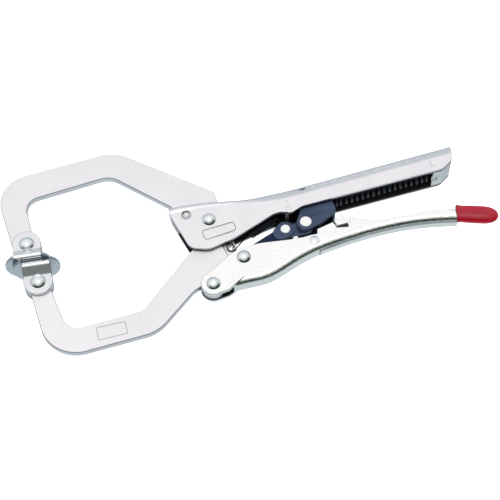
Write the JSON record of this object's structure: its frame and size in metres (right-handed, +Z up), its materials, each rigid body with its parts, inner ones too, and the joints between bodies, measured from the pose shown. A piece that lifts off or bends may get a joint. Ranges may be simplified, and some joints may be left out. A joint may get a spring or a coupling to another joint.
{
  "type": "locking pliers",
  "caption": "C-clamp locking pliers with swivel pads on open plate jaws, a spring-loaded self-adjusting slider, a toggle link and a release lever with a soft sleeve.",
  "frame": {"origin": "centre of the bounding box in X and Y, at the lowest point, where the pad rims touch the table", "axes": "the tool lies on its side: +X rearward along the spine of the upper handle, +Y towards the upper handle's side, +Z up, across the jaws' thickness"},
  "size_m": [0.2281, 0.0996, 0.0177],
  "materials": {
    "satin_nickel": "satin nickel plate",
    "bright_nickel": "polished nickel plate",
    "blued_steel": "matt dark blue finish",
    "spring_black": "black oxide",
    "zinc": "zinc plate",
    "rivet_steel": "polished",
    "pin_steel": "flat bright",
    "red_vinyl": "glossy dipped vinyl"
  },
  "bodies": {
    "upper_handle_body": {"upper_handle": "satin_nickel", "fixed_jaw": "satin_nickel", "main_pivot_rivet": "rivet_steel", "jaw_locating_rivet": "satin_nickel", "end_cap": "zinc", "spring_guide": "spring_black", "spring_anchor_bar": "satin_nickel", "adjusting_spring": "spring_black", "return_spring": "spring_black"},
    "lower_jaw_body": {"lower_jaw": "satin_nickel"},
    "lower_handle_body": {"lower_handle": "bright_nickel", "handle_hinge_rivet": "rivet_steel", "toggle_rivet": "rivet_steel", "lever_rivet": "rivet_steel"},
    "toggle_body": {"toggle_link": "blued_steel", "toggle_pin": "pin_steel"},
    "slider_body": {"slider": "blued_steel", "slider_pin": "pin_steel", "locking_pawl": "blued_steel"},
    "release_lever_body": {"release_lever": "bright_nickel", "release_sleeve": "red_vinyl"},
    "upper_pad_body": {"upper_pad_clip": "zinc", "upper_pad_disc": "zinc", "upper_pad_rivet": "rivet_steel"},
    "lower_pad_body": {"lower_pad_clip": "zinc", "lower_pad_disc": "zinc", "lower_pad_rivet": "rivet_steel"}
  },
  "joints": [
    {"name": "jaw_open", "type": "hinge", "parent": "upper_handle_body", "child": "lower_jaw_body", "pos_m": [-0.01765, -0.00165, 0.00887], "axis": [0, 0, 1], "range_deg": [0, 25], "deforming": ["return_spring"]},
    {"name": "handle_swing", "type": "hinge", "parent": "lower_jaw_body", "child": "lower_handle_body", "pos_m": [-0.02555, -0.03475, 0.00887], "axis": [0, 0, 1], "range_deg": [-45.01, 0]},
    {"name": "toggle_swing", "type": "hinge", "parent": "lower_handle_body", "child": "toggle_body", "pos_m": [-0.00835, -0.02615, 0.00887], "axis": [0, 0, 1], "range_deg": [0, 38.86]},
    {"name": "slider_travel", "type": "slide", "parent": "upper_handle_body", "child": "slider_body", "axis": [1, 0, 0], "range_m": [0, 0.01284], "deforming": ["adjusting_spring"]},
    {"name": "lever_press", "type": "hinge", "parent": "lower_handle_body", "child": "release_lever_body", "pos_m": [0.02535, -0.02795, 0.00887], "axis": [0, 0, 1], "range_deg": [0, 3.5]},
    {"name": "upper_pad_swivel", "type": "hinge", "parent": "upper_handle_body", "child": "upper_pad_body", "pos_m": [-0.10185, 0.01175, 0.00887], "axis": [0, 0, 1], "range_deg": [-4, 19]},
    {"name": "lower_pad_swivel", "type": "hinge", "parent": "lower_jaw_body", "child": "lower_pad_body", "pos_m": [-0.10145, -0.00915, 0.00887], "axis": [0, 0, 1], "range_deg": [-4, 19]}
  ],
  "couplings": [
    {"joint": "handle_swing", "follows": "jaw_open", "ratio": -1.8},
    {"joint": "toggle_swing", "follows": "jaw_open", "ratio": 1.5541},
    {"joint": "slider_travel", "follows": "jaw_open", "m_per_rad": 0.029407},
    {"joint": "lower_pad_swivel", "follows": "upper_pad_swivel", "ratio": 1}
  ]
}
